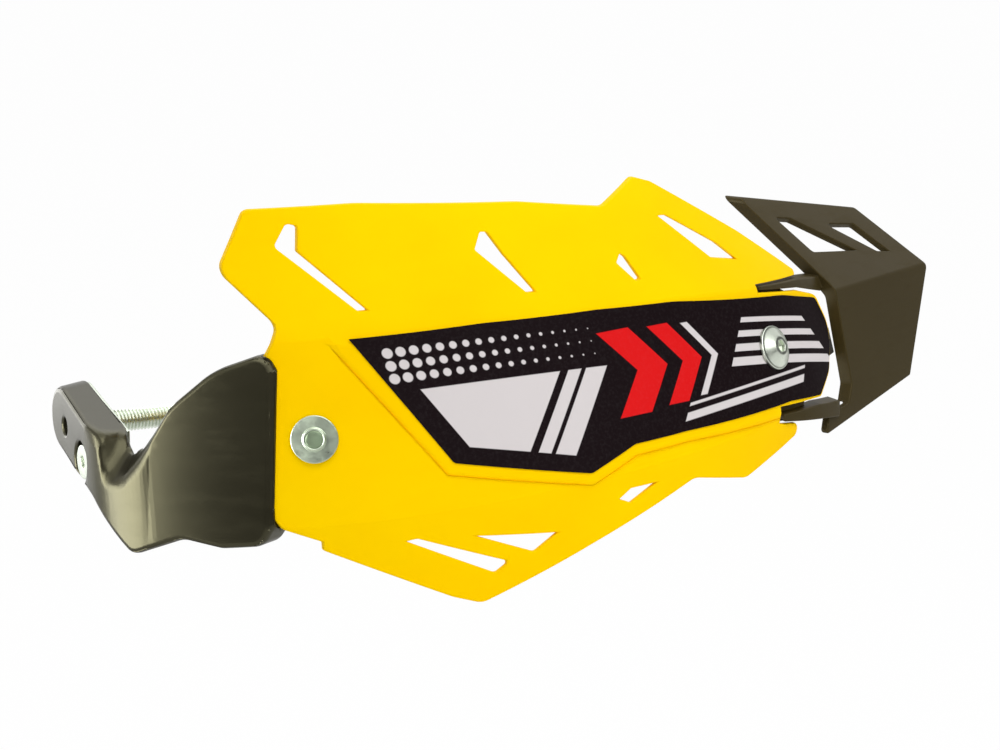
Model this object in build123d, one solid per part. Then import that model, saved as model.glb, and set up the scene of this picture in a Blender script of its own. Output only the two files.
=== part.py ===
"""Motorcycle hand guard: creased shield, mount arm, wind deflector, decal and fasteners.

The guard is drawn from the inner end of its leg. It is then moved so that the origin is the root of the
clamp stud, where it leaves the leg's plate. +X runs outboard along the stud, the front of the guard faces -Y
and +Z is up. Lengths are in millimetres and angles in degrees. A heading is a level direction: 0 faces the
front, and it turns towards +X.
"""
import os
from dataclasses import dataclass
from math import cos, radians, sin, sqrt, tan

from build123d import *

# Shield: three round surfaces that lean back and meet in two creases
wall = 2.2                     # thickness of the moulding
panel_radius = 206.0           # middle panel
panel_lean = 20.0              # its axis leans back by this much
panel_heading = 28.0           # along this heading
flange_heading = 20.0          # the same for both flanges
upper_radius = 224.0           # flange above the upper crease
upper_lean = 42.0
upper_crease_x = 149.6         # a point on the crease, and the way the flange faces there
upper_crease_z = 40.6
upper_crease_heading = 2.1
lower_radius = 199.0           # flange below the lower crease
lower_lean = 3.0
lower_crease_x = 135.3
lower_crease_z = -16.8
lower_crease_heading = -2.1
crease_round = 5.0             # outside radius along both creases
pad_height = 1.0               # the decal's panel stands proud of the middle panel
pad_end_x = 290.0              # and runs out past the end of the tongue
pad_bevel = 2.0                # width of the slope round it
pad_step = 0.1                 # step left at the foot of the slope
shield_fit = 0.3               # clearance of arm and deflector round the shield
decal_thickness = 0.4
decal_glue = 0.1               # layer of glue under it

# Bolts through the shield
left_bolt_x = 50.4
left_bolt_y = -60.2
left_bolt_z = 1.6
left_bolt_heading = -27.0
right_bolt_x = 227.4
right_bolt_z = 15.7
flange_radius = 8.0            # flanged heads
flange_thickness = 1.4
barrel_radius = 3.9            # barrel of the tee nut
boss_height = 2.6              # it stands this far in front of the shield
screw_radius = 3.0
screw_fit = 0.15               # radial clearance of the holes
bolt_reach = 20.0              # holes are cut this far each way from a bolt's seat
rear_head_radius = 5.5
rear_head_height = 3.3
dome_radius = 7.2              # domed head of the outer screw
dome_top_radius = 3.4
dome_height = 2.6
socket_radius = 2.3            # hexagon sockets, to their corners
socket_depth = 1.8
nut_radius = 5.5               # nut, to its corners
nut_height = 5.0
thread_end = 1.0               # a screw ends this far past its nut

# Mount arm: a leg across the stud and a blade along the shield
leg_face_x = -11.8             # outer face of the leg, in line with the middle of the bend
leg_heading = -93.0            # the leg tapers towards its end
plate_x = 2.6                  # inner face of the leg's steel plate
plate_end_y = -14.0            # the plate stops short of the bend
leg_plate_thickness = 1.2
plate_inset = 0.8
arm_bend_radius = 28.0         # outside and inside of the bend between leg and blade
arm_inner_radius = 8.0
arm_rim_bevel = 1.2            # along the front edges
arm_x = 39.6                   # the blade lies along the shield's edge here
arm_z = 4.6
arm_draw_heading = -61.0       # its outline is drawn along this heading
lip_thickness = 2.0            # lip in front of the shield's edge
tongue_thickness = 4.0         # tongue behind the shield
groove_slope = 45.0            # the notch falls towards the front by this angle
groove_depth = 21.0            # its outline is drawn this far in front of the stud
stud_y = 14.5
stud_z = -3.0
stud_radius = 3.9
stud_length = 48.0
stud_root_radius = 3.0         # root inside the leg
stud_recess = 4.0              # it ends this far inside the leg's outer face
leg_screw_y = -4.6             # recessed screw beside the stud
leg_screw_z = -11.4
counterbore_radius = 7.2
counterbore_depth = 4.0
button_radius = 6.5
button_top_radius = 5.8
button_height = 3.3

# Wind deflector: a lower panel and a wing that meet in a crease
deflector_x = 275.1            # left end of the crease
deflector_z = 28.4
deflector_forward = 8.7        # it stands this far in front of the shield's panel
deflector_heading = 28.0
deflector_lean = 16.0          # lower panel
wing_lean = 48.0
deflector_crease_round = 3.5
deflector_skin = 2.6
deflector_rim = 5.0            # depth of the rims
rim_width = 3.2
rim_foot_z = -40.0             # the rim stops above the pointed foot
bracket_thickness = 3.0        # bracket behind the shield's tongue
bracket_proud = 0.6            # its arms stand proud of the panel in the slots

contact = 0.001                # what is nearer than this counts as touching

# Room for tools that cut right through the guard
reach = 420.0
front_reach = 150.0
back_reach = 60.0

# Outlines seen from the front, as (x, z, corner radius)
shield_outline = [
    (38.0, 27.0, 0), (43.8, 37.6, 4), (30.4, 54.3, 5), (42.5, 73.3, 4), (78.0, 74.8, 60), (135.0, 72.8, 60),
    (168.0, 69.0, 6), (186.8, 76.8, 5), (194.5, 74.6, 5), (230.0, 54.4, 30), (256.0, 37.6, 1),
    (254.0, 36.4, 0), (226.0, 37.9, 0), (226.0, 35.1, 0), (251.0, 31.9, 8), (264.5, 28.0, 5),
    (270.8, 15.5, 10), (263.0, 1.7, 9), (253.0, -5.1, 3), (227.0, -3.7, 0), (226.0, -9.6, 0),
    (237.5, -11.4, 2), (236.0, -15.4, 3), (218.5, -21.2, 8), (207.0, -25.2, 6), (182.0, -20.9, 8),
    (141.0, -37.3, 40), (99.6, -54.5, 6), (90.0, -51.8, 10), (50.4, -34.9, 0), (50.3, -32.0, 0),
    (38.9, -28.0, 2), (33.0, -20.0, 0),
]
upper_vents = [
    [(48.7, 61.9, 1.5), (54.2, 69.0, 2), (57.6, 68.2, 1), (55.4, 60.3, 0), (72.3, 42.2, 0), (69.2, 42.0, 0)],
    [(113.2, 59.2, 0), (117.0, 64.5, 0), (119.4, 64.4, 1), (122.8, 57.2, 0), (129.9, 45.4, 0),
     (126.6, 45.4, 0)],
    [(167.6, 54.4, 0), (169.3, 53.1, 0), (172.2, 46.0, 0), (170.2, 45.6, 0), (164.8, 51.7, 0)],
    [(191.2, 63.9, 0), (195.0, 63.7, 1.5), (214.6, 52.7, 0), (222.2, 46.4, 0), (209.0, 48.6, 0)],
]
lower_vents = [
    [(75.4, -32.2, 0), (79.0, -31.4, 0), (109.4, -41.0, 1), (104.4, -44.6, 2)],
    [(98.0, -31.5, 0), (126.6, -32.6, 0), (118.0, -38.5, 2)],
    [(150.0, -23.9, 0), (154.7, -20.7, 0), (165.4, -20.0, 0), (154.6, -25.7, 1)],
]
# The pad's open sides are its left and its foot: the upper flange and the tongue's ends cut off the rest
pad_outline = [
    (42.0, 52.0, 0), (pad_end_x, 52.0, 0), (pad_end_x, -8.0, 0), (228.0, -7.6, 0), (179.4, -8.2, 0),
    (158.0, -10.0, 0), (139.6, -17.8, 0), (90.0, -11.0, 0),
]
decal_outline = [
    (63.4, 34.0, 0), (107.0, 37.5, 60), (150.0, 38.8, 60), (182.0, 38.2, 60), (240.0, 32.4, 60),
    (263.0, 27.4, 4), (269.6, 15.5, 10), (262.0, 2.3, 9), (252.4, -4.2, 2.5), (233.3, -2.6, 20),
    (179.4, -4.2, 20), (157.2, -5.8, 6), (139.1, -13.5, 3), (92.1, -6.8, 2),
]
tongue_outline = [
    (30.0, 16.0, 0), (54.0, 14.0, 8), (62.0, 2.0, 8), (54.0, -12.0, 8), (30.0, -16.0, 0),
]
bracket_outline = [
    (214.0, 4.0, 3), (214.0, 26.0, 3), (227.0, 37.0, 0), (240.0, 35.0, 0), (252.0, 29.5, 0),
    (263.0, 24.0, 3), (267.0, 15.0, 3), (277.0, 13.0, 0), (277.0, 4.0, 0), (262.0, 4.0, 3),
    (250.0, -2.5, 3), (241.0, -10.2, 0), (228.0, -8.8, 0),
]
bracket_arm_outlines = [
    [(227.0, 37.2, 0), (227.0, 35.9, 0), (252.0, 32.7, 6), (271.0, 27.8, 0), (276.0, 32.2, 0),
     (255.0, 35.3, 3)],
    [(228.0, -9.0, 0), (228.0, -6.6, 0), (252.0, -7.6, 3), (267.0, -9.6, 0), (264.0, -14.4, 0),
     (240.0, -10.9, 3)],
]

# The arm's outline, across and up its drawing direction
arm_outline = [
    (-32.9, 13.0, 11), (26.0, -2.6, 2.5), (36.7, 13.4, 20), (46.5, 24.0, 20), (60.8, 29.9, 5),
    (64.4, 24.0, 3), (68.4, -20.5, 5), (69.4, -27.2, 5), (66.8, -33.2, 4), (55.5, -33.8, 6),
    (44.0, -30.9, 6), (29.2, -37.0, 5), (8.0, -20.6, 12), (-32.9, -10.2, 10.5),
]
groove_outline = [
    (12.5, 25.0, 0), (13.2, -6.0, 0), (15.5, -12.6, 3), (19.0, -14.8, 2), (22.6, -13.8, 4),
    (29.5, -8.2, 10), (36.5, 1.0, 0), (38.5, 25.0, 0),
]

# Deflector outlines, along its crease and up from it, the vents along the wing's slope
deflector_outline = [
    (-10.3, 33.4, 1.8), (59.5, 21.8, 2), (75.0, -1.2, 2), (42.0, -38.3, 2), (-30.5, -48.0, 1),
    (-25.0, -41.3, 0), (-9.0, -40.2, 3), (-3.7, -34.0, 3), (0.0, 2.0, 6),
]
deflector_vents = [
    [(1.8, 37.1, 1), (11.0, 35.0, 1.5), (35.2, 14.2, 0), (6.9, 18.5, 2)],
    [(30.2, 29.0, 1), (49.0, 25.7, 1.5), (56.8, 9.7, 0), (48.7, 11.4, 2)],
]


def heading(angle):
    """Level direction of a heading."""
    return Vector(sin(radians(angle)), -cos(radians(angle)), 0)


def facing(angle, lean):
    """Direction of a face with a heading that leans back."""
    return heading(angle) * cos(radians(lean)) + Vector(0, 0, sin(radians(lean)))


@dataclass(frozen=True)
class Drum:
    """A large round surface with a leaning axis."""

    radius: float
    axis: Vector
    centre: Vector

    @classmethod
    def through(cls, point, point_heading, radius, lean, lean_heading):
        """Drum that leans along one heading and passes through a point, where it faces another."""
        axis = Vector(0, 0, cos(radians(lean))) - heading(lean_heading) * sin(radians(lean))
        level = heading(point_heading)
        outward = (level - Vector(0, 0, level.dot(axis) / axis.Z)).normalized()
        return cls(radius, axis, point - outward * radius)

    def across(self, vector):
        """Part of a vector that is square to the axis."""
        return vector - self.axis * vector.dot(self.axis)

    def front(self, x, z):
        """Point of the surface that is seen from the front at x and z."""
        start = self.across(Vector(x, 0, z) - self.centre)
        step = self.across(Vector(0, 1, 0))
        half = start.dot(step) / step.dot(step)
        rest = (start.dot(start) - self.radius ** 2) / step.dot(step)
        return Vector(x, -half - sqrt(half ** 2 - rest), z)

    def seat(self, x, z, offset=0.0):
        """Plane that touches the surface, or one outside it, at x and z."""
        point = self.front(x, z)
        outward = self.across(point - self.centre).normalized()
        return Plane(origin=point + outward * offset, z_dir=outward)

    def solid(self, offset=0.0):
        """Cylinder inside the surface, grown by the offset."""
        return Plane(origin=self.centre, z_dir=self.axis) * Cylinder(self.radius + offset, reach)

    def layer(self, inner, outer):
        """Shell between two offsets of the surface."""
        return self.solid(outer) - self.solid(inner)


def outline_face(corners):
    """Flat face from corners, each with its own radius."""
    face = make_face(Polyline(*[(across, up) for across, up, _ in corners], close=True))
    for across, up, corner_radius in corners:
        if corner_radius > 0:
            face = fillet(face.vertices().sort_by_distance((across, up, 0))[0], corner_radius)
    return face


def grown(face, distance):
    """Face with its outline moved out, or in, and its corners kept sharp."""
    return offset(face, distance, kind=Kind.INTERSECTION)


def drawn_prism(face, plane, ahead, behind):
    """Prism of a face, ahead of a plane and behind it."""
    return extrude(plane * Pos(0, 0, -behind) * face, amount=ahead + behind)


def front_prism(face):
    """Prism along the shield's mould direction."""
    return drawn_prism(face, Plane.XZ, front_reach, back_reach)


def half_space(plane, depth=0.0):
    """Everything behind a plane that is sunk by a depth."""
    return plane * Pos(0, 0, -depth) * Box(reach, reach, reach, align=(Align.CENTER, Align.CENTER, Align.MAX))


def rod(plane, radius, ahead, behind):
    """Round rod square to a plane, ahead of it and behind it."""
    return plane * Pos(0, 0, -behind) * Cylinder(
        radius, ahead + behind, align=(Align.CENTER, Align.CENTER, Align.MIN))


def frustum(plane, radius, top_radius, height):
    """Cone without its tip that stands on a plane."""
    return plane * Cone(radius, top_radius, height, align=(Align.CENTER, Align.CENTER, Align.MIN))


def hexagon(plane, radius, height):
    """Hexagon prism on a plane."""
    return extrude(plane * RegularPolygon(radius, 6), amount=height)


def edges_on(body, faces):
    """Edges of a body that lie on some faces."""
    return body.edges().filter_by(lambda edge: min(face.distance_to(edge @ 0.5) for face in faces) < contact)


def round_edge_at(body, point, radius):
    """Round the edge that passes nearest to a point."""
    return fillet(body.edges().sort_by_distance(point)[0], radius)


panel = Drum.through(Vector(left_bolt_x, left_bolt_y, left_bolt_z), left_bolt_heading,
                     panel_radius, panel_lean, panel_heading)
upper_crease = panel.front(upper_crease_x, upper_crease_z)
lower_crease = panel.front(lower_crease_x, lower_crease_z)
upper = Drum.through(upper_crease, upper_crease_heading, upper_radius, upper_lean, flange_heading)
lower = Drum.through(lower_crease, lower_crease_heading, lower_radius, lower_lean, flange_heading)
left_seat = panel.seat(left_bolt_x, left_bolt_z)
decal_back = pad_height + decal_glue
decal_front = decal_back + decal_thickness
right_seat = panel.seat(right_bolt_x, right_bolt_z, decal_front)
back_of_pad = pad_height - wall
bracket_front = -wall - 2 * shield_fit
nut_hollow = nut_radius ** 2 / (2 * panel_radius)
outer_grip = decal_front - bracket_front + bracket_thickness + nut_hollow
rear_grip = wall + shield_fit + tongue_thickness + rear_head_radius ** 2 / (2 * panel_radius)

blade_plane = panel.seat(arm_x, arm_z, lip_thickness)
blade_thickness = lip_thickness + wall + 2 * shield_fit + tongue_thickness
leg_plane = Plane(origin=(leg_face_x, 0, 0), z_dir=heading(leg_heading))
leg_inner_plane = Plane(origin=(plate_x - leg_plate_thickness, 0, 0), z_dir=(-1, 0, 0))
leg_taper = tan(radians(-90 - leg_heading))
leg_screw_x = leg_face_x + leg_screw_y * leg_taper
leg_screw_plane = Plane(origin=(leg_screw_x, leg_screw_y, leg_screw_z), z_dir=(-1, 0, 0))
leg_screw_depth = plate_x - leg_screw_x
stud_plane = Plane(origin=(plate_x, stud_y, stud_z), z_dir=(1, 0, 0))
stud_depth = plate_x - leg_face_x - stud_y * leg_taper
arm_across = heading(arm_draw_heading + 90)
arm_plane = Plane(origin=(0, 0, 0), x_dir=arm_across, z_dir=heading(arm_draw_heading))

crease_left = panel.front(deflector_x, deflector_z) - Vector(0, deflector_forward, 0)
along_crease = heading(deflector_heading + 90)
deflector_plane = Plane(origin=crease_left, x_dir=along_crease, z_dir=heading(deflector_heading))
lower_panel_plane = Plane(crease_left, x_dir=along_crease, z_dir=facing(deflector_heading, deflector_lean))
wing_plane = Plane(crease_left, x_dir=along_crease, z_dir=facing(deflector_heading, wing_lean))


def upper_body(panel_offset, flange_offset, crease_radius):
    """Convex body inside the panel and the upper flange, with a round crease."""
    body = panel.solid(panel_offset) & upper.solid(flange_offset)
    body &= Pos(upper_crease_x, 0, 0) * Box(reach, front_reach * 2, reach)
    return round_edge_at(body, upper_crease, crease_radius)


def shield_body(grow, crease_radius):
    """Convex body inside the three surfaces, with round creases."""
    body = upper_body(grow, grow, crease_radius) & lower.solid(grow)
    return round_edge_at(body, lower_crease, crease_radius)


def make_pad(face):
    """Convex body inside the raised panel, with a slope along its open sides."""
    pad = upper_body(pad_height, 0, crease_round) & front_prism(face)
    front = pad.faces().sort_by_distance(panel.seat(upper_crease_x, 0, pad_height).origin)[0]
    open_sides = front.edges().sort_by(Axis.Z)[:-1].sort_by(Axis.X)[:-1]
    return chamfer(open_sides, pad_bevel, pad_height - pad_step, reference=front)


def make_shield():
    """Creased and vented moulding with a raised panel for the decal."""
    pad_face = outline_face(pad_outline)
    outer = shield_body(0, crease_round) + make_pad(pad_face)
    inner = shield_body(-wall, crease_round - wall)
    inner += upper_body(back_of_pad, -wall, crease_round - wall) & front_prism(grown(pad_face, -wall))
    shell = (outer - inner) & front_prism(outline_face(shield_outline))
    for vent in upper_vents + lower_vents:
        shell -= front_prism(outline_face(vent))
    shell -= rod(left_seat, barrel_radius + screw_fit, bolt_reach, bolt_reach)
    return shell - rod(right_seat, screw_radius + screw_fit, bolt_reach, bolt_reach)


def make_shield_room():
    """Room that the shield's wall needs in the pieces round it."""
    room = shield_body(shield_fit, crease_round + shield_fit)
    room -= shield_body(-wall - shield_fit, crease_round - wall - shield_fit)
    return room & front_prism(grown(outline_face(shield_outline), shield_fit))


def make_decal():
    """Printed film on the raised panel."""
    film = panel.layer(decal_back, decal_front) & front_prism(outline_face(decal_outline))
    return film - rod(right_seat, screw_radius + screw_fit, bolt_reach, bolt_reach)


def bent_body(blade, leg, bend_radius):
    """Wedge behind the planes of blade and leg, round at the bend."""
    body = half_space(blade) & half_space(leg)
    bend = blade.intersect(leg)
    return round_edge_at(body, bend.position, bend_radius)


def make_arm():
    """Bent bracket with a notched top, a groove for the shield's edge and a tongue behind it."""
    outer = bent_body(blade_plane, leg_plane, arm_bend_radius)
    arm = outer - bent_body(blade_plane.offset(-blade_thickness), leg_inner_plane, arm_inner_radius)
    arm &= drawn_prism(outline_face(arm_outline), arm_plane, front_reach, front_reach)
    bend = blade_plane.intersect(leg_plane)
    skins = outer.faces().sort_by_distance(bend.position)[:3]
    arm = chamfer(edges_on(arm, skins).filter_by(bend, reverse=True), arm_rim_bevel)
    groove = arm_plane.offset(groove_depth) * outline_face(groove_outline)
    arm -= extrude(groove, amount=back_reach, dir=facing(arm_draw_heading, -groove_slope), both=True)
    tongue_front = -wall - shield_fit
    tongue = panel.layer(tongue_front - tongue_thickness, tongue_front)
    arm += tongue & front_prism(outline_face(tongue_outline))
    arm -= shield_room
    arm -= rod(left_seat, barrel_radius + screw_fit, bolt_reach, bolt_reach)
    arm -= rod(leg_screw_plane, counterbore_radius, bolt_reach, counterbore_depth)
    arm -= rod(leg_screw_plane, screw_radius + screw_fit, 0, leg_screw_depth)
    return arm - rod(stud_plane, stud_root_radius + screw_fit, 0, bolt_reach)


def make_leg_plate():
    """Steel plate that backs the leg and holds stud and screw."""
    plate = Pos(plate_x, plate_end_y, 0) * Box(
        leg_plate_thickness, reach, reach, align=(Align.MAX, Align.MIN, Align.CENTER))
    plate &= drawn_prism(grown(outline_face(arm_outline), -plate_inset), arm_plane, front_reach, front_reach)
    plate -= rod(stud_plane, stud_root_radius, 0, stud_depth)
    return plate - rod(leg_screw_plane, screw_radius, 0, leg_screw_depth)


def make_stud():
    """Stud for a handlebar clamp, with a plain root in the leg."""
    stud = rod(stud_plane, stud_radius, stud_length, 0)
    stud = chamfer(stud.edges().sort_by(Axis.X)[-1], stud_radius / 6)
    return stud + rod(stud_plane, stud_root_radius, 0, stud_depth - stud_recess)


def make_leg_screw():
    """Button-head screw in the leg's counterbore."""
    seat = leg_screw_plane.offset(-counterbore_depth)
    screw = frustum(seat, button_radius, button_top_radius, button_height)
    screw += rod(seat, screw_radius, 0, leg_screw_depth - counterbore_depth + thread_end)
    return screw - hexagon(seat.offset(button_height), socket_radius, -socket_depth)


def make_tee_nut():
    """Flanged barrel nut on the front of the shield."""
    nut = rod(left_seat, flange_radius, flange_thickness, 0)
    nut += rod(left_seat, barrel_radius, boss_height, wall + tongue_thickness)
    return nut - rod(left_seat, screw_radius, bolt_reach, bolt_reach)


def make_rear_screw():
    """Screw that goes into the tee nut from behind."""
    seat = left_seat.offset(-rear_grip)
    screw = rod(seat, rear_head_radius, 0, rear_head_height)
    screw += rod(seat, screw_radius, rear_grip + boss_height - screw_fit, 0)
    return screw - hexagon(seat.offset(-rear_head_height), socket_radius, socket_depth)


def make_outer_screw():
    """Flanged button-head screw through decal, shield and bracket."""
    screw = rod(right_seat, flange_radius, flange_thickness, 0)
    head = right_seat.offset(flange_thickness)
    screw += frustum(head, dome_radius, dome_top_radius, dome_height)
    screw += rod(right_seat, screw_radius, 0, outer_grip + nut_height + thread_end)
    return screw - hexagon(head.offset(dome_height), socket_radius, -socket_depth)


def make_outer_nut():
    """Nut behind the bracket."""
    nut = hexagon(right_seat.offset(-outer_grip), nut_radius, -nut_height)
    return nut - rod(right_seat, screw_radius, 0, bolt_reach)


def deflector_body(depth):
    """Wedge behind the lower panel and the wing, round at the crease."""
    body = half_space(lower_panel_plane, depth) & half_space(wing_plane, depth)
    return round_edge_at(body, crease_left, deflector_crease_round)


def deflector_prism(face):
    """Prism along the deflector's mould direction."""
    return drawn_prism(face, deflector_plane, front_reach, front_reach)


def make_bracket():
    """Plate behind the shield's tongue, with an arm through each slot and a seat for the screw."""
    back = bracket_front - bracket_thickness
    bracket = panel.layer(back, bracket_front) & front_prism(outline_face(bracket_outline))
    for arm in bracket_arm_outlines:
        bracket += panel.layer(back, bracket_proud) & front_prism(outline_face(arm))
    bracket -= shield_room
    seat = panel.layer(back, back_of_pad - shield_fit) & rod(right_seat, flange_radius, 0, bolt_reach)
    return bracket + seat


def make_deflector():
    """Bent and vented wing with deep rims, moulded with its bracket."""
    face = outline_face(deflector_outline)
    rim_face = face - grown(face, -rim_width)
    rim_face &= Pos(0, rim_foot_z) * Rectangle(reach, reach, align=(Align.CENTER, Align.MIN))
    outer = deflector_body(0)
    wing = (outer - deflector_body(deflector_skin)) & deflector_prism(face)
    wing += (outer - deflector_body(deflector_rim)) & deflector_prism(rim_face)
    for vent in deflector_vents:
        wing -= drawn_prism(outline_face(vent), wing_plane, deflector_rim, deflector_rim)
    return wing + make_bracket() - rod(right_seat, screw_radius + screw_fit, 0, bolt_reach)


shield_room = make_shield_room()
makers = {
    "shield": make_shield,
    "decal": make_decal,
    "mount_arm": make_arm,
    "leg_plate": make_leg_plate,
    "clamp_stud": make_stud,
    "leg_screw": make_leg_screw,
    "tee_nut": make_tee_nut,
    "rear_screw": make_rear_screw,
    "outer_screw": make_outer_screw,
    "outer_nut": make_outer_nut,
    "wind_deflector": make_deflector,
}
os.makedirs("parts", exist_ok=True)
for name, make in makers.items():
    export_step(Pos(-plate_x, -stud_y, -stud_z) * make(), f"parts/{name}.step")
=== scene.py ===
"""Looks of the motorcycle hand guard: mouldings, decal print, fasteners and studio."""

import logging
import math
from collections.abc import Callable
from dataclasses import dataclass
from enum import Enum
from typing import NamedTuple, Optional, Union

import bmesh
import bpy
import numpy as np
from mathutils import Matrix, Vector
from mathutils.bvhtree import BVHTree


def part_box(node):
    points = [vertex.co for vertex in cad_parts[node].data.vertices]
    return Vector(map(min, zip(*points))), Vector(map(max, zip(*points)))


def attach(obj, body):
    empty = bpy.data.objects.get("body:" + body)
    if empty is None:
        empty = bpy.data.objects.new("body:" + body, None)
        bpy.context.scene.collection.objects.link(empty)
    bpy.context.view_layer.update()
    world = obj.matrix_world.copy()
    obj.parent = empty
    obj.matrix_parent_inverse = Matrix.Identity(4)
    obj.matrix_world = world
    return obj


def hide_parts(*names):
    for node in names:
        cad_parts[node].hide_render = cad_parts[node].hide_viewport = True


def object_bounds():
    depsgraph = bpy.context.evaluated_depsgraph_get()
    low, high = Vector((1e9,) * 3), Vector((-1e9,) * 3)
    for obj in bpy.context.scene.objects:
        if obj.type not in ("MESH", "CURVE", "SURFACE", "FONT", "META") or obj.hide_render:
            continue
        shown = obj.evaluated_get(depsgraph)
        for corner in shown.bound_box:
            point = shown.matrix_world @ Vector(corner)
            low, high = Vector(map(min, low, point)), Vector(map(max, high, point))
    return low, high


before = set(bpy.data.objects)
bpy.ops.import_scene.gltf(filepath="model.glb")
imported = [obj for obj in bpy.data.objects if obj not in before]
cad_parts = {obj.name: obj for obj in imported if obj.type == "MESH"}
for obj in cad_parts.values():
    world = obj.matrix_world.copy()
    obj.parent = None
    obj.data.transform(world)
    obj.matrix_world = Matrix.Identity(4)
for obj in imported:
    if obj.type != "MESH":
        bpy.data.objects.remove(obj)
cad_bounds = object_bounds()

logging.basicConfig(level=logging.INFO, format="%(name)s: %(message)s")
log = logging.getLogger("hand_guard")

MM = 0.001
ROUND_PROFILE = 0.5
NOISE_MIDDLE = 0.5
# A Mix node has one socket of each name for each type of data, so its colours go by number.
MIX_FIRST = 6
MIX_SECOND = 7
MIX_RESULT = 2
Colour = tuple[float, float, float]
Point = tuple[float, float, float]
Span = tuple[float, float]


class Slot(Enum):
    """Material slots of the record."""

    YELLOW = "yellow_plastic"
    DECAL = "decal_film"
    DARK = "dark_plastic"
    STEEL = "zinc_steel"


class Value:
    """A shader socket that takes part in maths."""

    def __init__(self, graph: "Graph", socket: bpy.types.NodeSocket) -> None:
        """Wrap a socket of a graph."""
        self.graph = graph
        self.socket = socket

    def _math(self, operation: str, first: "Operand", second: "Operand", clamp: bool = False) -> "Value":
        """Add a Math node.

        Args:
            operation: Operation of the node.
            first: First operand.
            second: Second operand.
            clamp: Whether the result stays between 0 and 1.

        Returns:
            The result.
        """
        node = self.graph.tree.nodes.new("ShaderNodeMath")
        node.operation = operation
        node.use_clamp = clamp
        for index, operand in enumerate((first, second)):
            self.graph.feed(node.inputs[index], operand)
        return Value(self.graph, node.outputs[0])

    def __add__(self, other: "Operand") -> "Value":
        """Sum."""
        return self._math("ADD", self, other)

    def __radd__(self, other: "Operand") -> "Value":
        """Sum, with the value second."""
        return self._math("ADD", other, self)

    def __sub__(self, other: "Operand") -> "Value":
        """Difference."""
        return self._math("SUBTRACT", self, other)

    def __rsub__(self, other: "Operand") -> "Value":
        """Difference, with the value second."""
        return self._math("SUBTRACT", other, self)

    def __mul__(self, other: "Operand") -> "Value":
        """Product."""
        return self._math("MULTIPLY", self, other)

    def __rmul__(self, other: "Operand") -> "Value":
        """Product, with the value second."""
        return self._math("MULTIPLY", other, self)

    def __truediv__(self, other: "Operand") -> "Value":
        """Quotient."""
        return self._math("DIVIDE", self, other)

    def __rtruediv__(self, other: "Operand") -> "Value":
        """Quotient, with the value second."""
        return self._math("DIVIDE", other, self)

    def __mod__(self, other: "Operand") -> "Value":
        """Remainder that is never negative."""
        return self._math("FLOORED_MODULO", self, other)

    def __rmod__(self, other: "Operand") -> "Value":
        """Remainder, with the value second."""
        return self._math("FLOORED_MODULO", other, self)

    def __abs__(self) -> "Value":
        """Size without the sign."""
        return self._math("ABSOLUTE", self, 0.0)

    def root(self) -> "Value":
        """Square root."""
        return self._math("SQRT", self, 0.0)

    def angle_from(self, other: "Operand") -> "Value":
        """Angle of the point with this height and the other's reach, in radians."""
        return self._math("ARCTAN2", self, other)

    def least(self, other: "Operand") -> "Value":
        """Smaller of two values."""
        return self._math("MINIMUM", self, other)

    def most(self, other: "Operand") -> "Value":
        """Larger of two values."""
        return self._math("MAXIMUM", self, other)

    def above(self, edge: "Operand", blur: float) -> "Value":
        """Mask that is 1 above an edge, with the middle of its rise on the edge."""
        return self._math("ADD", (self - edge) / blur, 0.5, clamp=True)

    def below(self, edge: "Operand", blur: float) -> "Value":
        """Mask that is 1 below an edge."""
        return 1.0 - self.above(edge, blur)

    def between(self, span: Span, blur: float) -> "Value":
        """Mask that is 1 between two edges."""
        return self.above(span[0], blur).least(self.below(span[1], blur))


Operand = Union[Value, float]


class Noise(NamedTuple):
    """Noise on an object: waves per millimetre, octaves, their roughness and a stretch along the axes."""

    per_mm: float
    detail: float
    roughness: float
    stretch: Optional[Point] = None


class Patches(NamedTuple):
    """Patches where a noise is above an edge, with the blur of their rim and their strength."""

    noise: Noise
    edge: float
    blur: float
    strength: float = 1.0


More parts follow.
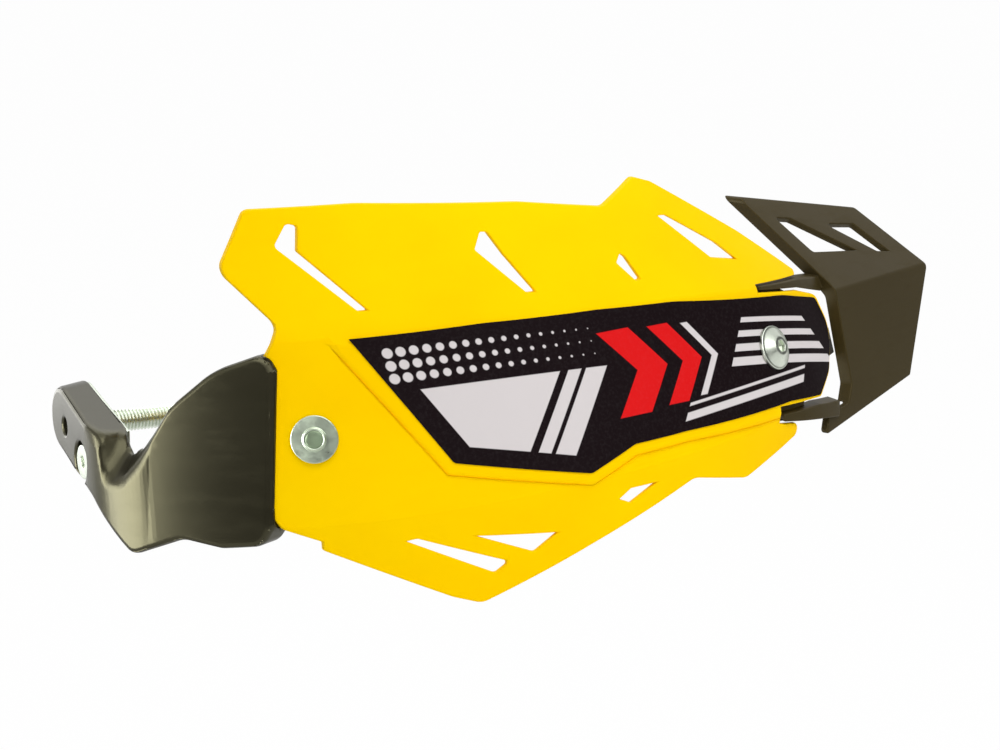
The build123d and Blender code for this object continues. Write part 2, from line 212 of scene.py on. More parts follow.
class Graph:
    """Nodes of one material or of the world."""

    def __init__(self, tree: bpy.types.NodeTree) -> None:
        """Start with an empty tree."""
        self.tree = tree
        tree.nodes.clear()

    def feed(self, socket: bpy.types.NodeSocket, operand: object) -> None:
        """Link a value to a socket, or set the socket's own value.

        Args:
            socket: Input socket.
            operand: Value or constant.
        """
        if isinstance(operand, Value):
            self.tree.links.new(operand.socket, socket)
        else:
            socket.default_value = operand

    def node(self, kind: str, settings: Optional[dict] = None, inputs: Optional[dict] = None,
             output: Union[int, str] = 0) -> Optional[Value]:
        """Create any node.

        Args:
            kind: Node type.
            settings: Properties, set first.
            inputs: Values or links by socket name or index.
            output: Socket that is returned.

        Returns:
            The output socket as a value, if the node has one.
        """
        node = self.tree.nodes.new(kind)
        for key, setting in (settings or {}).items():
            setattr(node, key, setting)
        for key, operand in (inputs or {}).items():
            self.feed(node.inputs[key], operand)
        return Value(self, node.outputs[output]) if node.outputs else None

    def place(self) -> Value:
        """Position on the object in metres."""
        return self.node("ShaderNodeTexCoord", output="Object")

    def noise(self, noise: Noise) -> Value:
        """Draw a noise.

        Args:
            noise: Its waves and stretch.

        Returns:
            Value from 0 to 1, mostly near its middle.
        """
        place = self.place()
        if noise.stretch is not None:
            vectors = {0: place, 1: noise.stretch}
            place = self.node("ShaderNodeVectorMath", {"operation": "MULTIPLY"}, vectors)
        return self.node("ShaderNodeTexNoise", inputs={
            "Vector": place,
            "Scale": noise.per_mm / MM,
            "Detail": noise.detail,
            "Roughness": noise.roughness,
        })

    def patches(self, patches: Patches) -> Value:
        """Mask of patches, up to their strength."""
        return self.noise(patches.noise).above(patches.edge, patches.blur) * patches.strength

    def dot(self, first: Value, second: Point) -> Value:
        """Dot product of a vector and a fixed direction."""
        vectors = {0: first, 1: second}
        return self.node("ShaderNodeVectorMath", {"operation": "DOT_PRODUCT"}, vectors, output="Value")

    def mix(self, factor: Operand, first: object, second: object) -> Value:
        """Mix two colours."""
        inputs = {"Factor": factor, MIX_FIRST: first, MIX_SECOND: second}
        return self.node("ShaderNodeMix", {"data_type": "RGBA"}, inputs, output=MIX_RESULT)

    def bump(self, height: Value, strength: float, depth: float) -> Value:
        """Normal of a relief with a depth in millimetres."""
        inputs = {"Strength": strength, "Distance": depth * MM, "Height": height}
        return self.node("ShaderNodeBump", inputs=inputs)

    def surface(self, inputs: dict) -> None:
        """End the material in a principled shader."""
        shader = self.node("ShaderNodeBsdfPrincipled", inputs=inputs)
        self.node("ShaderNodeOutputMaterial", inputs={"Surface": shader})


def rgba(colour: Colour) -> tuple[float, float, float, float]:
    """Colour with full alpha."""
    return (*colour, 1.0)


WHITE = rgba((1.0, 1.0, 1.0))
BLACK = rgba((0.0, 0.0, 0.0))


@dataclass(frozen=True)
class Finish:
    """A named finish."""

    name: str

    def draw(self, graph: Graph) -> None:
        """Draw the finish into a graph."""
        raise NotImplementedError

    def material(self) -> bpy.types.Material:
        """Make the material of the finish once.

        Returns:
            The material.
        """
        known = bpy.data.materials.get(self.name)
        if known is not None:
            return known
        material = bpy.data.materials.new(self.name)
        material.use_nodes = True
        self.draw(Graph(material.node_tree))
        log.info("finish %s", self.name)
        return material


@dataclass(frozen=True)
class MouldedPlastic(Finish):
    """Satin moulded plastic with faint grain, flow marks and handling marks."""

    colour: Colour
    flow_colour: Colour
    roughness: float
    roughness_spread: float
    specular: float
    grain_depth: float
    tint: Colour
    flow: Noise = Noise(0.018, 3.0, 0.55, (1.0, 1.0, 1.8))
    flow_blur: float = 0.5
    flow_strength: float = 0.7
    specks: Patches = Patches(Noise(1.6, 2.0, 0.6), edge=0.68, blur=0.12, strength=0.12)
    scuffs: Patches = Patches(Noise(0.09, 4.0, 0.7, (0.4, 1.0, 2.6)), edge=0.6, blur=0.22, strength=0.5)
    grain: Noise = Noise(2.4, 2.0, 0.5)
    grain_strength: float = 0.35

    def draw(self, graph: Graph) -> None:
        """Draw the finish into a graph.

        Args:
            graph: Empty graph of the material.
        """
        flow = graph.noise(self.flow)
        clouds = flow.above(NOISE_MIDDLE, self.flow_blur) * self.flow_strength
        colour = graph.mix(clouds, rgba(self.colour), rgba(self.flow_colour))
        wear = flow - NOISE_MIDDLE + graph.patches(self.scuffs)
        graph.surface({
            "Base Color": graph.mix(graph.patches(self.specks), colour, rgba(self.flow_colour)),
            "Roughness": self.roughness + wear * self.roughness_spread,
            "Specular IOR Level": self.specular,
            "Specular Tint": rgba(self.tint),
            "Normal": graph.bump(graph.noise(self.grain), self.grain_strength, self.grain_depth),
        })


@dataclass(frozen=True)
class ZincSteel(Finish):
    """Zinc-plated steel with cloudy plating and fine tool marks."""

    colour: Colour
    dull_colour: Colour
    roughness: float
    clouds: Patches = Patches(Noise(0.22, 3.0, 0.6), edge=0.5, blur=0.4)
    cloud_roughness: float = 0.12
    marks: Noise = Noise(1.9, 3.0, 0.6, (0.25, 1.0, 1.0))
    mark_roughness: float = 0.16
    mark_strength: float = 0.1
    mark_depth: float = 0.02

    def draw(self, graph: Graph) -> None:
        """Draw the finish into a graph.

        Args:
            graph: Empty graph of the material.
        """
        clouds = graph.patches(self.clouds)
        marks = graph.noise(self.marks)
        wear = clouds * self.cloud_roughness + (marks - NOISE_MIDDLE) * self.mark_roughness
        graph.surface({
            "Base Color": graph.mix(clouds, rgba(self.colour), rgba(self.dull_colour)),
            "Metallic": 1.0,
            "Roughness": self.roughness + wear,
            "Normal": graph.bump(marks, self.mark_strength, self.mark_depth),
        })


@dataclass(frozen=True)
class Drum:
    """Cylinder that a bent sheet lies on, found from the sheet's own mesh."""

    axis: Vector
    side: Vector
    front: Vector
    centre: tuple[float, float]
    radius: float
    start: float
    foot: float

    @classmethod
    def of_node(cls, node: str, facing: float = 0.4) -> "Drum":
        """Fit the cylinder to a node.

        Args:
            node: CAD node of the sheet.
            facing: Least share of a face's normal along Y that makes it a broad face.

        Returns:
            The cylinder, in millimetres.
        """
        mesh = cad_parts[node].data
        broad = [face for face in mesh.polygons if abs(face.normal.y) > facing]
        normals = np.array([face.normal[:] for face in broad])
        areas = np.array([face.area for face in broad])
        axis = Vector(np.linalg.eigh((normals * areas[:, None]).T @ normals)[1][:, 0])
        axis *= math.copysign(1.0, axis.z)
        front = (Vector((0, -1, 0)) + axis * axis.y).normalized()
        side = axis.cross(front)
        points = np.array([vertex.co[:] for vertex in mesh.vertices]) / MM
        across, ahead = points @ np.array(side), points @ np.array(front)
        terms = np.column_stack([2 * across, 2 * ahead, np.ones_like(across)])
        middle_across, middle_ahead, rest = np.linalg.lstsq(terms, across**2 + ahead**2, rcond=None)[0]
        radius = math.sqrt(rest + middle_across**2 + middle_ahead**2)
        along = np.arctan2(across - middle_across, ahead - middle_ahead) * radius
        return cls(axis, side, front, (middle_across, middle_ahead), radius,
                   float(along.min()), float((points @ np.array(axis)).min()))

    def coordinates(self, graph: Graph) -> tuple[Value, Value]:
        """Lay coordinates on the sheet.

        Args:
            graph: Graph of the sheet's material.

        Returns:
            Distance along the sheet from its left end and height from its foot, in millimetres.
        """
        place = graph.place()
        lines = (self.side, self.front, self.axis)
        across, ahead, up = (graph.dot(place, tuple(line / MM)) for line in lines)
        along = (across - self.centre[0]).angle_from(ahead - self.centre[1]) * self.radius
        return along - self.start, up - self.foot


class Chevron(NamedTuple):
    """Chevron on the film: place of its inner tip, width, and height above and below its middle."""

    start: float
    width: float
    reach: float


@dataclass(frozen=True)
class DecalFilm(Finish):
    """Printed film: a pale sweep, red chevrons, dots and speed lines on black, drawn in millimetres.

    Levels are heights corrected for the fall of the print, leans are distances corrected for its slant.
    """

    ground: Colour
    pale: Colour
    red: Colour
    roughness: float
    specular: float
    blur: float = 0.3
    fall: float = 0.15
    slant: float = 0.8
    keel_slope: float = 0.372
    keel_level: float = 31.0
    end_slope: float = 0.457
    end_reach: float = 38.0
    sweep_foot: float = 6.5
    sweep_level: float = 46.0
    sweep_lean: float = 58.0
    slashes: tuple[Span, Span] = ((38.0, 41.5), (47.0, 49.0))
    chevron_middle: float = 36.0
    red_chevrons: tuple[Chevron, Chevron] = (Chevron(96.0, 13.0, 15.0), Chevron(116.0, 9.0, 14.0))
    pale_chevron: Chevron = Chevron(130.0, 3.2, 13.0)
    dot_pitch: float = 4.4
    dot_radius: float = 2.0
    dot_shrink: float = 0.022
    dot_levels: Span = (48.4, 61.6)
    dot_reach: Span = (8.8, 83.6)
    line_pitch: float = 5.2
    line_levels: Span = (41.0, 60.5)
    line_width: float = 3.4
    line_thinning: float = 0.09
    line_lean: float = 122.0
    line_end: float = 243.0
    line_end_slope: float = 0.9
    low_lines: tuple[Span, Span] = ((7.0, 9.6), (11.6, 12.6))
    low_leans: Span = (104.0, 172.0)
    ink: Patches = Patches(Noise(0.9, 3.0, 0.6), edge=0.62, blur=0.3, strength=0.012)
    sheen: Noise = Noise(0.05, 3.0, 0.6)
    sheen_spread: float = 0.14
    ripple: Noise = Noise(0.5, 2.0, 0.5)
    ripple_strength: float = 0.1
    ripple_depth: float = 0.03

    def sweep(self, along: Value, up: Value) -> Value:
        """Pale blade that fills the lower left, cut by two slashes.

        Args:
            along: Distance along the film.
            up: Height on the film.

        Returns:
            The mask.
        """
        level = up + along * self.fall
        lean = along - up * self.slant
        inside = (up + along * self.keel_slope).above(self.keel_level, self.blur)
        inside = inside.least((along + up * self.end_slope).above(self.end_reach, self.blur))
        inside = inside.least(level.below(self.sweep_level, self.blur))
        inside = inside.least(up.above(self.sweep_foot, self.blur))
        first, second = (lean.between(slash, self.blur) for slash in self.slashes)
        return inside.least(lean.below(self.sweep_lean, self.blur)).least(1.0 - first.most(second))

    def chevron(self, along: Value, up: Value, chevron: Chevron) -> Value:
        """Chevron that points to the right.

        Args:
            along: Distance along the film.
            up: Height on the film.
            chevron: Its place and sizes.

        Returns:
            The mask.
        """
        off = abs(up + along * (self.fall / 2) - self.chevron_middle)
        span = (chevron.start, chevron.start + chevron.width)
        stroke = (along + off * self.slant).between(span, self.blur)
        return stroke.least(off.below(chevron.reach, self.blur))

    def dots(self, along: Value, up: Value) -> Value:
        """Rows of dots that shrink to the right.

        Args:
            along: Distance along the film.
            up: Height on the film.

        Returns:
            The mask.
        """
        level = up + along * self.fall
        across = along % self.dot_pitch - self.dot_pitch / 2
        height = level % self.dot_pitch - self.dot_pitch / 2
        radius = self.dot_radius - along * self.dot_shrink
        dot = (radius - (across * across + height * height).root()).above(0.0, self.blur)
        rows = level.between(self.dot_levels, self.blur)
        return dot.least(rows).least(along.between(self.dot_reach, self.blur))

    def lines(self, along: Value, up: Value) -> Value:
        """Speed lines that thin out along the upper right, and two along the lower edge.

        Args:
            along: Distance along the film.
            up: Height on the film.

        Returns:
            The mask.
        """
        level = up + along * self.fall
        lean = along - up * self.slant
        rise = level - self.line_levels[0]
        upper = (rise % self.line_pitch).below(self.line_width - rise * self.line_thinning, self.blur)
        upper = upper.least(level.between(self.line_levels, self.blur))
        upper = upper.least(lean.above(self.line_lean, self.blur))
        upper = upper.least((along + level * self.line_end_slope).below(self.line_end, self.blur))
        first, second = (up.between(line, self.blur) for line in self.low_lines)
        return upper.most(first.most(second).least(lean.between(self.low_leans, self.blur)))

    def draw(self, graph: Graph) -> None:
        """Draw the finish into a graph.

        Args:
            graph: Empty graph of the material.
        """
        along, up = Drum.of_node("decal").coordinates(graph)
        pale = self.sweep(along, up).most(self.dots(along, up)).most(self.lines(along, up))
        pale = pale.most(self.chevron(along, up, self.pale_chevron))
        first, second = (self.chevron(along, up, chevron) for chevron in self.red_chevrons)
        colour = graph.mix(pale, rgba(self.ground), rgba(self.pale))
        colour = graph.mix(first.most(second), colour, rgba(self.red))
        graph.surface({
            "Base Color": graph.mix(graph.patches(self.ink), colour, rgba(self.pale)),
            "Roughness": self.roughness + (graph.noise(self.sheen) - NOISE_MIDDLE) * self.sheen_spread,
            "Specular IOR Level": self.specular,
            "Normal": graph.bump(graph.noise(self.ripple), self.ripple_strength, self.ripple_depth),
        })


YELLOW = MouldedPlastic(
    "yellow_satin", colour=(0.99, 0.64, 0.0), flow_colour=(0.97, 0.56, 0.0), roughness=0.46,
    roughness_spread=0.14, specular=0.03, grain_depth=0.02, tint=(1.0, 0.70, 0.05))
GLOSS = MouldedPlastic(
    "dark_gloss", colour=(0.004, 0.003, 0.0015), flow_colour=(0.006, 0.0045, 0.0025), roughness=0.31,
    roughness_spread=0.08, specular=0.6, grain_depth=0.01, tint=(1.0, 0.95, 0.58))
SATIN = MouldedPlastic(
    "dark_satin", colour=(0.040, 0.029, 0.009), flow_colour=(0.047, 0.035, 0.012), roughness=0.46,
    roughness_spread=0.12, specular=0.14, grain_depth=0.02, tint=(1.0, 0.92, 0.66))
FILM = DecalFilm(
    "decal_print", ground=(0.009, 0.005, 0.006), pale=(0.64, 0.60, 0.60), red=(0.68, 0.010, 0.011),
    roughness=0.5, specular=0.02)
STEEL = ZincSteel(
    "zinc_plate", colour=(0.66, 0.71, 0.61), dull_colour=(0.56, 0.60, 0.52), roughness=0.28)
DULL_STEEL = ZincSteel(
    "zinc_dull", colour=(0.51, 0.58, 0.46), dull_colour=(0.46, 0.53, 0.41), roughness=0.28)
# Zinc plate darkened as painted shade: the rear screw's end sits in shadow inside the tee nut's bore.
SHADED_STEEL = ZincSteel(
    "zinc_painted_shade", colour=(0.24, 0.30, 0.20), dull_colour=(0.20, 0.26, 0.17), roughness=0.34)


@dataclass
class Piece:
    """One piece of the guard that stands for a CAD node."""

    node: str
    finish: Finish
    slot: Slot

    def mesh(self) -> bpy.types.Mesh:
        """Mesh of the piece."""
        raise NotImplementedError

    def skin(self, body: bmesh.types.BMesh) -> bpy.types.Mesh:
        """Turn a finished form into a smooth mesh and free the form.

        Args:
            body: Form of the piece.

        Returns:
            The mesh.
        """
        for face in body.faces:
            face.smooth = True
        mesh = bpy.data.meshes.new(self.node + "_skin")
        body.to_mesh(mesh)
        body.free()
        return mesh

    def build(self) -> None:
        """Make the piece and let it stand for its node."""
        piece = bpy.data.objects.new(self.node + "_skin", self.mesh())
        bpy.context.scene.collection.objects.link(piece)
        piece.data.materials.append(self.finish.material())
        piece.modifiers.new("normals", "WEIGHTED_NORMAL").keep_sharp = True
        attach(piece, "root")
        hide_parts(self.node)
        log.info("piece %s with %d faces", piece.name, len(piece.data.polygons))


@dataclass
class Moulding(Piece):
    """A piece with the form of its node and rounded edges."""

    edge_round: float = 0.5
    segments: int = 2
    sharp_angle: float = 28.0
    weld: float = 0.01
    least_agreement: float = 0.3

    def mesh(self) -> bpy.types.Mesh:
        """Round the edges of a copy of the node's mesh.

        Returns:
            The mesh.
        """
        body = bmesh.new()
        body.from_mesh(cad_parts[self.node].data)
        bmesh.ops.remove_doubles(body, verts=body.verts, dist=self.weld * MM)
        bmesh.ops.dissolve_degenerate(body, edges=body.edges, dist=self.weld * MM)
        form = BVHTree.FromBMesh(body)
        limit = math.radians(self.sharp_angle)
        sharp = [edge for edge in body.edges if edge.is_manifold and edge.calc_face_angle() > limit]
        bmesh.ops.bevel(body, geom=sharp, offset=self.edge_round * MM, offset_type="OFFSET",
                        segments=self.segments, profile=ROUND_PROFILE, affect="EDGES",
                        clamp_overlap=False, loop_slide=False)
        self.settle(body, form)
        self.join_slivers(body)
        self.shape(body)
        return self.skin(body)

    def shape(self, body: bmesh.types.BMesh) -> None:
        """Give the rounded form what its own kind adds."""

    def settle(self, body: bmesh.types.BMesh, form: BVHTree) -> None:
        """Bring points that the rounding threw off back to the form.

        Args:
            body: Rounded form.
            form: Form before the rounding.
        """
        for vertex in body.verts:
            nearest, _, _, distance = form.find_nearest(vertex.co)
            if distance > self.edge_round * MM:
                vertex.co = nearest

    def join_slivers(self, body: bmesh.types.BMesh) -> None:
        """Join each triangle that stands across its neighbours to the face beyond its longest edge.

        Args:
            body: Rounded form.
        """
        body.normal_update()
        longest = []
        for face in body.faces:
            around = [other for edge in face.edges for other in edge.link_faces if other is not face]
            agreement = max((face.normal.dot(other.normal) for other in around), default=1.0)
            if len(face.verts) == 3 and agreement < self.least_agreement:
                longest.append(max(face.edges, key=bmesh.types.BMEdge.calc_length))
        bmesh.ops.dissolve_edges(body, edges=list(dict.fromkeys(longest)), use_verts=False)


EdgeTest = Callable[[bmesh.types.BMEdge], bool]


@dataclass
class CrownedArm(Moulding):
    """Arm whose blade bulges a little, as a parabola, between its bend and the shield's edge.

    The heading of the blade is in degrees about Z, and the crown starts and ends at distances along it.
    """

    heading: float = -30.0
    crown_start: float = 24.0
    crown_end: float = 64.0
    crown_height: float = 1.2
    crown_grid: float = 3.0
    saddle_middle: Point = (-7.0, -37.0, -1.0)
    saddle_reach: float = 15.0
    saddle_gain: float = 2.0
    saddle_grid: float = 1.3
    saddle_passes: int = 60
    saddle_step: float = 0.5
    splits: int = 5

    def shape(self, body: bmesh.types.BMesh) -> None:
        """Soften the saddle and crown the blade.

        Args:
            body: Rounded form.
        """
        bmesh.ops.triangulate(body, faces=body.faces)
        self.soften(body)
        self.crown(body)

    def divide(self, body: bmesh.types.BMesh, grid: float, inside: EdgeTest) -> None:
        """Split long edges of a region.

        Args:
            body: Mesh of triangles.
            grid: Length in millimetres up to which an edge stays.
            inside: Whether an edge lies in the region.
        """
        for _ in range(self.splits):
            long = [edge for edge in body.edges if edge.calc_length() > grid * MM and inside(edge)]
            bmesh.ops.subdivide_edges(body, edges=long, cuts=1)
            bmesh.ops.triangulate(body, faces=body.faces)

    def soften(self, body: bmesh.types.BMesh) -> None:
        """Blend the walls of the saddle into each other.

        Args:
            body: Mesh of triangles.
        """
        middle = Vector(self.saddle_middle) * MM
        reach = self.saddle_reach * MM

        def weight(place: Vector) -> float:
            """Share of the blending at a place."""
            return max(0.0, 1.0 - (place - middle).length / reach)

        def inside(edge: bmesh.types.BMEdge) -> bool:
            """Whether an edge comes near the saddle."""
            ends = [vertex.co for vertex in edge.verts]
            return any(weight(place) > 0 for place in (*ends, (ends[0] + ends[1]) / 2))

        self.divide(body, self.saddle_grid, inside)
        near = [(vertex, weight(vertex.co)) for vertex in body.verts]
        soft = [(vertex, min(1.0, self.saddle_gain * share)) for vertex, share in near if share > 0]
        for _ in range(self.saddle_passes):
            moves = []
            for vertex, share in soft:
                around = [edge.other_vert(vertex).co for edge in vertex.link_edges]
                mean = sum(around, Vector()) / len(around)
                moves.append(vertex.co.lerp(mean, self.saddle_step * share))
            for (vertex, _), place in zip(soft, moves):
                vertex.co = place

    def crown(self, body: bmesh.types.BMesh) -> None:
        """Divide the blade finely and raise its crown.

        Args:
            body: Mesh of triangles.
        """
        turn = math.radians(self.heading)
        right = Vector((math.cos(turn), math.sin(turn), 0.0))
        out = Vector((math.sin(turn), -math.cos(turn), 0.0))
        length = self.crown_end - self.crown_start

        def share(vertex: bmesh.types.BMVert) -> float:
            """Share of the way from the bend to the shield."""
            return (vertex.co.dot(right) / MM - self.crown_start) / length

        def inside(edge: bmesh.types.BMEdge) -> bool:
            """Whether an edge crosses the crown."""
            return max(map(share, edge.verts)) > 0 and min(map(share, edge.verts)) < 1

        self.divide(body, self.crown_grid, inside)
        for vertex in body.verts:
            way = min(max(share(vertex), 0.0), 1.0)
            bulge = 4 * way * (1 - way)
            vertex.co += out * (bulge * self.crown_height * MM)


ThreadLine = Callable[[float], tuple[float, float]]


@dataclass
class Stud(Piece):
    """Threaded stud along +X with a plain root."""

    pitch: float = 1.25
    depth: float = 0.72
    flanks: tuple[float, float, float, float] = (0.12, 0.44, 0.56, 0.88)
    root_radius: float = 3.0
    tip_bevel: float = 1.0
    columns: int = 40
    weld: float = 0.005
    sharp_angle: float = 40.0

    def ring(self, body: bmesh.types.BMesh, line: ThreadLine) -> list[bmesh.types.BMVert]:
        """Ring of points whose height and radius follow the turn.

        Args:
            body: Mesh that takes the points.
            line: Height and radius in millimetres at a share of the turn.

        Returns:
            The points, first and last at the same angle.
        """
        points = []
        for column in range(self.columns + 1):
            share = column / self.columns
            height, radius = line(share)
            angle = 2 * math.pi * share
            place = Vector((height, radius * math.cos(angle), radius * math.sin(angle)))
            points.append(body.verts.new(place * MM))
        return points

    def root_line(self, at: float) -> ThreadLine:
        """Plain line round the root at a height."""
        return lambda share: (at, self.root_radius)

    def thread_line(self, start: float, radius: float, tip: float, crest: float) -> ThreadLine:
        """Line that winds up the stud and stays between its root and its tip.

        Args:
            start: Height of its first point, in pitches.
            radius: Radius on the thread.
            tip: Height of the tip.
            crest: Outer radius of the thread.

        Returns:
            Height and radius at a share of the turn.
        """
        def line(share: float) -> tuple[float, float]:
            """Follow the line.

            Args:
                share: Share of the turn.

            Returns:
                Height and radius.
            """
            height = (start + share) * self.pitch
            inside = min(max(height, 0.0), tip)
            taper = crest - self.tip_bevel + tip - inside
            return inside, min(radius if inside == height else crest - self.depth, taper)

        return line

    def mesh(self) -> bpy.types.Mesh:
        """Make thread, tip and root as one closed skin.

        Returns:
            The mesh.
        """
        low, high = (Vector(corner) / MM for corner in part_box(self.node))
        tip, crest = high.x, high.z
        radii = (crest - self.depth, crest, crest, crest - self.depth)
        body = bmesh.new()
        rings = [self.ring(body, self.root_line(at)) for at in (low.x, 0.0)]
        for turn in range(-1, math.ceil(tip / self.pitch) + 1):
            for flank, radius in zip(self.flanks, radii):
                rings.append(self.ring(body, self.thread_line(turn + flank, radius, tip, crest)))
        for first, second in zip(rings, rings[1:]):
            for column in range(self.columns):
                body.faces.new((first[column], first[column + 1], second[column + 1], second[column]))
        bmesh.ops.remove_doubles(body, verts=body.verts, dist=self.weld * MM)
        bmesh.ops.dissolve_degenerate(body, edges=body.edges, dist=self.weld * MM)
        bmesh.ops.holes_fill(body, edges=[edge for edge in body.edges if edge.is_boundary], sides=0)
        bmesh.ops.recalc_face_normals(body, faces=body.faces)
        for edge in body.edges:
            edge.smooth = not edge.is_manifold or edge.calc_face_angle() < math.radians(self.sharp_angle)
        return self.skin(body)


@dataclass
class Shield:
    """Yellow shield with its printed film."""

    edge_round: float = 0.5
    film_round: float = 0.1

    def build(self) -> None:
        """Make the shield and the film."""
        Moulding("shield", YELLOW, Slot.YELLOW, self.edge_round).build()
        Moulding("decal", FILM, Slot.DECAL, self.film_round, segments=1).build()


@dataclass
class MountArm:
    """Dark arm with the steel plate, stud and screw of its leg."""

    edge_round: float = 0.9
    plate_round: float = 0.15
    screw_round: float = 0.3

    def build(self) -> None:
        """Make the arm and its steel."""
        CrownedArm("mount_arm", GLOSS, Slot.DARK, self.edge_round, segments=3).build()
        Moulding("leg_plate", STEEL, Slot.STEEL, self.plate_round, segments=1).build()
        Stud("clamp_stud", STEEL, Slot.STEEL).build()
        Moulding("leg_screw", STEEL, Slot.STEEL, self.screw_round).build()


@dataclass
class Fixings:
    """Screws and nuts that hold the shield."""

    bright: tuple[str, ...] = ("outer_screw",)
    dull: tuple[str, ...] = ("tee_nut", "outer_nut")
    # The rear screw takes the darkened zinc, which is painted shade of its end inside the tee nut's bore.
    dark: tuple[str, ...] = ("rear_screw",)
    edge_round: float = 0.3

    def build(self) -> None:
        """Make each fastener."""
        for finish, nodes in ((STEEL, self.bright), (DULL_STEEL, self.dull), (SHADED_STEEL, self.dark)):
            for node in nodes:
                Moulding(node, finish, Slot.STEEL, self.edge_round).build()


@dataclass
class WindDeflector:
    """Dark deflector beside the shield."""

    edge_round: float = 0.5

    def build(self) -> None:
        """Make the deflector."""
        Moulding("wind_deflector", SATIN, Slot.DARK, self.edge_round).build()


class Rays(Enum):
    """Light of a lamp that reaches the guard."""

    ALL = "all"
    GLOSS = "gloss"
    MATT = "matt"


class Lamp(NamedTuple):
    """Soft lamp: place from the guard's middle and sizes in metres, and power in watts."""

    name: str
    at: Point
    width: float
    height: float
    watts: float
    rays: Rays = Rays.ALL


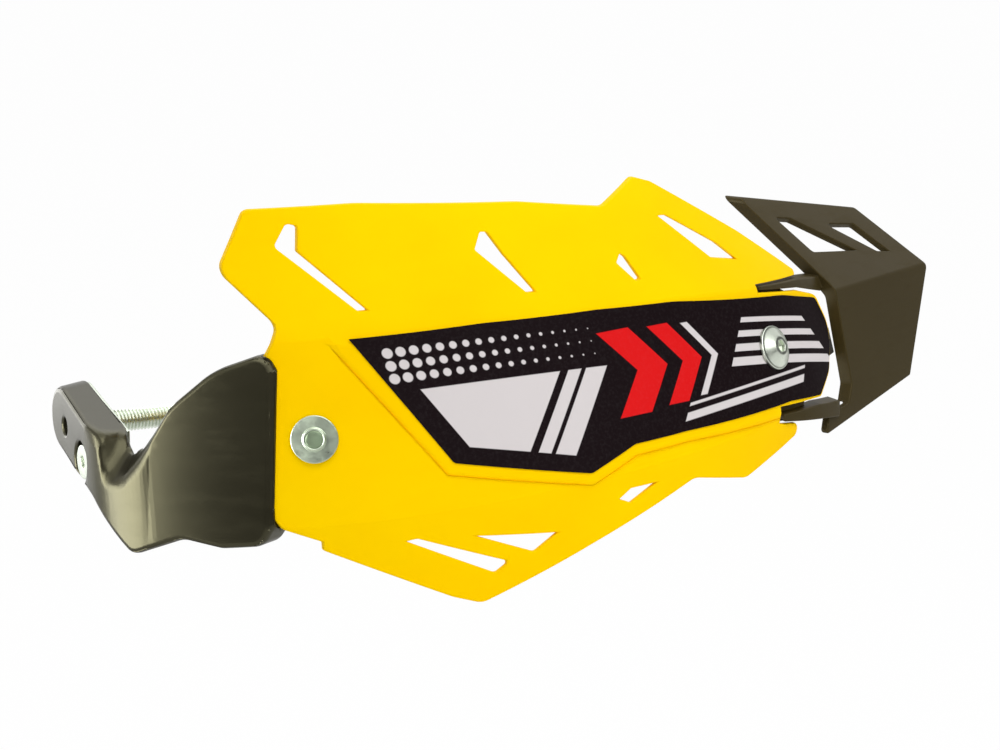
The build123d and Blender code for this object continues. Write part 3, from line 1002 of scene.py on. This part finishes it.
@dataclass
class Studio:
    """White studio with a pale floor, a dark flag at the front right, soft lamps and the camera.

    The lens, the sensor, the camera's place and the floor's drop are in millimetres, other lengths in metres.
    The flag shows in reflections alone. Its heading is in degrees from the front towards the right, its reach
    is the cosine of its half-width, and its top is the sine of its height.
    """

    lens: float = 100.0
    sensor: float = 36.0
    far_clip: float = 100.0
    camera_at: Point = (-303.0, -898.0, 216.1)
    camera_right: Point = (0.8910, -0.4540, 0.0)
    camera_up: Point = (0.0944, 0.1852, 0.9781)
    camera_back: Point = (-0.4441, -0.8715, 0.2079)
    floor_drop: float = 240.0
    floor_size: float = 16.0
    floor_white: float = 0.975
    floor_paper: Colour = (0.86, 0.86, 0.86)
    ambient: float = 0.5
    flag_heading: float = 25.0
    flag_reach: float = 0.225
    flag_blur: float = 0.23
    flag_top: float = 0.7
    flag_top_blur: float = 0.4
    flag_dark: float = 0.94
    lamps: tuple[Lamp, ...] = (
        Lamp("key", (-0.15, -0.75, 1.25), 1.1, 0.9, 10.0),
        Lamp("side_card", (-1.20, -0.12, 0.06), 1.1, 0.8, 31.0, Rays.GLOSS),
        Lamp("back_card", (-0.55, 1.15, 0.10), 0.9, 0.7, 5.0, Rays.GLOSS),
        Lamp("front_card", (0.10, -1.10, 0.75), 1.1, 0.6, 6.0, Rays.GLOSS),
        Lamp("fill", (0.35, -1.30, 0.05), 1.0, 0.6, 4.0, Rays.MATT),
        Lamp("top", (0.15, 0.50, 1.10), 1.2, 1.2, 7.0),
    )

    def build(self) -> None:
        """Set up world, floor, lamps and camera."""
        bpy.context.scene.view_settings.view_transform = "Standard"
        self.world()
        self.floor()
        middle = (Vector(cad_bounds[0]) + Vector(cad_bounds[1])) / 2
        for lamp in self.lamps:
            self.lamp(lamp, middle)
        self.camera()

    def rays(self, graph: Graph) -> tuple[Value, Value]:
        """Tell rays apart.

        Args:
            graph: Graph of the world or of the floor.

        Returns:
            Masks of the rays that see straight into the studio, and of those that reflect it.
        """
        node = graph.node("ShaderNodeLightPath").socket.node
        names = ("Is Camera Ray", "Is Glossy Ray", "Is Transmission Ray")
        camera, glossy, through = (Value(graph, node.outputs[name]) for name in names)
        return camera.most(through), glossy

    def flag(self, graph: Graph) -> Value:
        """Mask of the directions that the dark flag fills.

        Args:
            graph: Graph of the world.

        Returns:
            The mask, up to the darkness of the flag.
        """
        towards = graph.node("ShaderNodeTexCoord", output="Generated")
        heading = math.radians(self.flag_heading)
        ahead = graph.dot(towards, (math.sin(heading), -math.cos(heading), 0.0))
        height = graph.dot(towards, (0.0, 0.0, 1.0))
        low = height.below(self.flag_top, self.flag_top_blur)
        return ahead.above(self.flag_reach, self.flag_blur).least(low) * self.flag_dark

    def world(self) -> None:
        """White to the camera and in reflections beside the flag, softer as light."""
        world = bpy.data.worlds.new("studio")
        world.use_nodes = True
        bpy.context.scene.world = world
        graph = Graph(world.node_tree)
        straight, glossy = self.rays(graph)
        seen = straight.most(glossy * (1.0 - self.flag(graph)))
        black, light, white = (
            graph.node("ShaderNodeBackground", inputs={"Color": colour, "Strength": strength})
            for colour, strength in ((BLACK, 0.0), (WHITE, self.ambient), (WHITE, 1.0)))
        dim = graph.node("ShaderNodeMixShader", inputs={0: straight.most(glossy), 1: light, 2: black})
        mixed = graph.node("ShaderNodeMixShader", inputs={0: seen, 1: dim, 2: white})
        graph.node("ShaderNodeOutputWorld", inputs={"Surface": mixed})

    def floor(self) -> None:
        """Pale floor under the guard that keeps a faint shadow."""
        mesh = bpy.data.meshes.new("floor")
        body = bmesh.new()
        bmesh.ops.create_grid(body, x_segments=1, y_segments=1, size=self.floor_size / 2)
        body.to_mesh(mesh)
        body.free()
        floor = bpy.data.objects.new("floor", mesh)
        floor.location.z = cad_bounds[0][2] - self.floor_drop * MM
        bpy.context.scene.collection.objects.link(floor)
        material = bpy.data.materials.new("floor_white")
        material.use_nodes = True
        graph = Graph(material.node_tree)
        straight, glossy = self.rays(graph)
        paper = graph.node("ShaderNodeBsdfDiffuse", inputs={"Color": rgba(self.floor_paper)})
        white = graph.node("ShaderNodeEmission", inputs={"Color": WHITE, "Strength": 1.0})
        share = straight.most(glossy) * self.floor_white
        mixed = graph.node("ShaderNodeMixShader", inputs={0: share, 1: paper, 2: white})
        graph.node("ShaderNodeOutputMaterial", inputs={"Surface": mixed})
        mesh.materials.append(material)

    def lamp(self, lamp: Lamp, target: Vector) -> None:
        """Add a soft lamp that looks at a target.

        Args:
            lamp: Its place, sizes and power.
            target: Point that it looks at.
        """
        light = bpy.data.lights.new(lamp.name, "AREA")
        light.shape = "RECTANGLE"
        light.size = lamp.width
        light.size_y = lamp.height
        light.energy = lamp.watts
        holder = bpy.data.objects.new(lamp.name, light)
        holder.visible_diffuse = lamp.rays is not Rays.GLOSS
        holder.visible_glossy = lamp.rays is not Rays.MATT
        holder.location = target + Vector(lamp.at)
        holder.rotation_euler = Vector(lamp.at).to_track_quat("Z", "Y").to_euler()
        bpy.context.scene.collection.objects.link(holder)

    def camera(self) -> None:
        """Camera at the photograph's viewing angle."""
        data = bpy.data.cameras.new("camera")
        data.lens = self.lens
        data.sensor_width = self.sensor
        data.sensor_fit = "HORIZONTAL"
        data.clip_end = self.far_clip
        camera = bpy.data.objects.new("camera", data)
        columns = (Vector(self.camera_right), Vector(self.camera_up), Vector(self.camera_back))
        turn = Matrix(columns).transposed().to_4x4()
        camera.matrix_world = Matrix.Translation(Vector(self.camera_at) * MM) @ turn
        bpy.context.scene.collection.objects.link(camera)
        bpy.context.scene.camera = camera


def main() -> None:
    """Build the guard's sub-assemblies and the studio."""
    for part in (Shield(), MountArm(), Fixings(), WindDeflector(), Studio()):
        part.build()
    bpy.context.view_layer.update()


if __name__ == "__main__":
    main()
